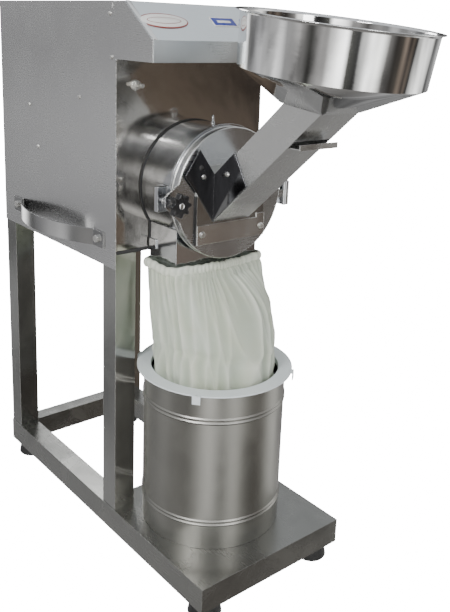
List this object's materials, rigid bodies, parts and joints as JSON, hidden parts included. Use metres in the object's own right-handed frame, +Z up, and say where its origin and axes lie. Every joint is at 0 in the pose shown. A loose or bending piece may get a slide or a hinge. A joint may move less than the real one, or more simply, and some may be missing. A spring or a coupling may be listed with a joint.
{
  "type": "hammer mill",
  "caption": "Hammer mill on a cabinet stand: a hopper and gated chute on a hinged door feed a drum of swinging hammers, and a cloth sleeve carries the meal to a collecting drum.",
  "frame": {"origin": "on the floor, under the middle of the whole machine", "axes": "+Z up, -Y towards the hopper and the collecting drum, +X to the right seen from the front"},
  "size_m": [0.456, 1.054, 1.124],
  "materials": {
    "satin_steel": "satin sheet with a fine grain, worn smooth at the folds",
    "polished_steel": "near-mirror polish with faint rolling waves",
    "drum_steel": "bright satin, polished round the drum",
    "frame_steel": "dull grey satin with a light grain",
    "hood_steel": "pale satin",
    "gusset_steel": "dark polish",
    "cast_steel": "machined, oiled",
    "bright_steel": "turned and polished",
    "zinc_bolts": "bright zinc",
    "ring_coat": "pale grey-blue coat, satin",
    "motor_paint": "blue-grey enamel",
    "copper": "varnished windings and laminations",
    "black_rubber": "matt",
    "black_plastic": "moulded, slightly glossy",
    "white_plastic": "smooth",
    "plate_enamel": "plain enamelled plates, no lettering",
    "cotton": "undyed woven cotton"
  },
  "bodies": {
    "root": {"tray": "frame_steel", "base_rails": "frame_steel", "legs": "frame_steel", "rubber_feet": "black_rubber", "motor_shelf": "frame_steel", "mill_mount_plate": "frame_steel", "side_panel_left": "satin_steel", "side_panel_right": "satin_steel", "front_panel": "polished_steel", "back_panel": "satin_steel", "top_lid": "satin_steel", "hood": "hood_steel", "name_plates": "plate_enamel", "lift_handles": "satin_steel", "handle_bolts": "zinc_bolts", "panel_screws": "zinc_bolts", "panel_stud": "zinc_bolts", "cord_gland": "black_plastic", "motor_housing": "motor_paint", "motor_end_bells": "motor_paint", "stator_core": "copper", "motor_bearings": "bright_steel", "fan_cover": "motor_paint", "terminal_box": "black_plastic", "start_capacitor": "white_plastic", "mount_bolts": "zinc_bolts", "drum_gasket": "black_rubber", "mill_drum": "drum_steel", "shaft_seal": "black_rubber", "sieve_screen": "drum_steel", "clamp_bracket": "drum_steel", "bracket_bolts": "zinc_bolts", "hinge_leaf": "drum_steel", "hinge_pin": "bright_steel", "bag": "cotton", "bag_band": "cotton"},
    "rotor": {"main_shaft": "bright_steel", "rotor_core": "cast_steel", "cooling_fan": "black_plastic", "rotor_discs": "cast_steel", "hammer_pins": "bright_steel", "rotor_nut": "zinc_bolts"},
    "hammer_row_top": {"hammers_top": "cast_steel"},
    "hammer_row_right": {"hammers_right": "cast_steel"},
    "hammer_row_bottom": {"hammers_bottom": "cast_steel"},
    "hammer_row_left": {"hammers_left": "cast_steel"},
    "door": {"door_pan": "drum_steel", "door_seal": "black_rubber", "door_plate": "drum_steel", "cover_strip": "polished_steel", "feed_gusset": "gusset_steel", "door_screws": "zinc_bolts", "chute": "satin_steel", "hopper": "polished_steel"},
    "gate": {"slide_gate": "satin_steel"},
    "clamp_ring": {"clamp_collar": "bright_steel"},
    "clamp": {"clamp_screw": "bright_steel", "clamp_knob": "black_plastic"},
    "container": {"container": "drum_steel"},
    "ring": {"ring_lid": "ring_coat"}
  },
  "joints": [
    {"name": "rotor_spin", "type": "hinge", "parent": "root", "child": "rotor", "pos_m": [0, -0.03796, 0.778], "axis": [0, 1, 0], "continuous": true},
    {"name": "hammer_top_swing", "type": "hinge", "parent": "rotor", "child": "hammer_row_top", "pos_m": [0, -0.03496, 0.846], "axis": [0, 1, 0], "continuous": true},
    {"name": "hammer_right_swing", "type": "hinge", "parent": "rotor", "child": "hammer_row_right", "pos_m": [0.068, -0.03496, 0.778], "axis": [0, 1, 0], "continuous": true},
    {"name": "hammer_bottom_swing", "type": "hinge", "parent": "rotor", "child": "hammer_row_bottom", "pos_m": [0, -0.03496, 0.71], "axis": [0, 1, 0], "continuous": true},
    {"name": "hammer_left_swing", "type": "hinge", "parent": "rotor", "child": "hammer_row_left", "pos_m": [-0.068, -0.03496, 0.778], "axis": [0, 1, 0], "continuous": true},
    {"name": "door_swing", "type": "hinge", "parent": "root", "child": "door", "pos_m": [0.158, -0.09296, 0.757], "axis": [0, 0, 1], "range_deg": [0, 110]},
    {"name": "gate_slide", "type": "slide", "parent": "door", "child": "gate", "axis": [0, -1, 0], "range_m": [0, 0.085]},
    {"name": "knob_travel", "type": "slide", "parent": "door", "child": "clamp_ring", "axis": [0, -1, 0], "range_m": [0, 0.0082]},
    {"name": "knob_turn", "type": "hinge", "parent": "clamp_ring", "child": "clamp", "pos_m": [-0.142, -0.11096, 0.772], "axis": [0, -1, 0], "range_deg": [0, 1440]},
    {"name": "container_slide", "type": "slide", "parent": "root", "child": "container", "axis": [0, -1, 0], "range_m": [0, 0.185], "deforming": ["bag"]},
    {"name": "ring_lift", "type": "slide", "parent": "container", "child": "ring", "axis": [0, 0, 1], "range_m": [0, 0.02]}
  ],
  "couplings": [
    {"joint": "knob_travel", "follows": "knob_turn", "m_per_rad": 0.00031831}
  ]
}
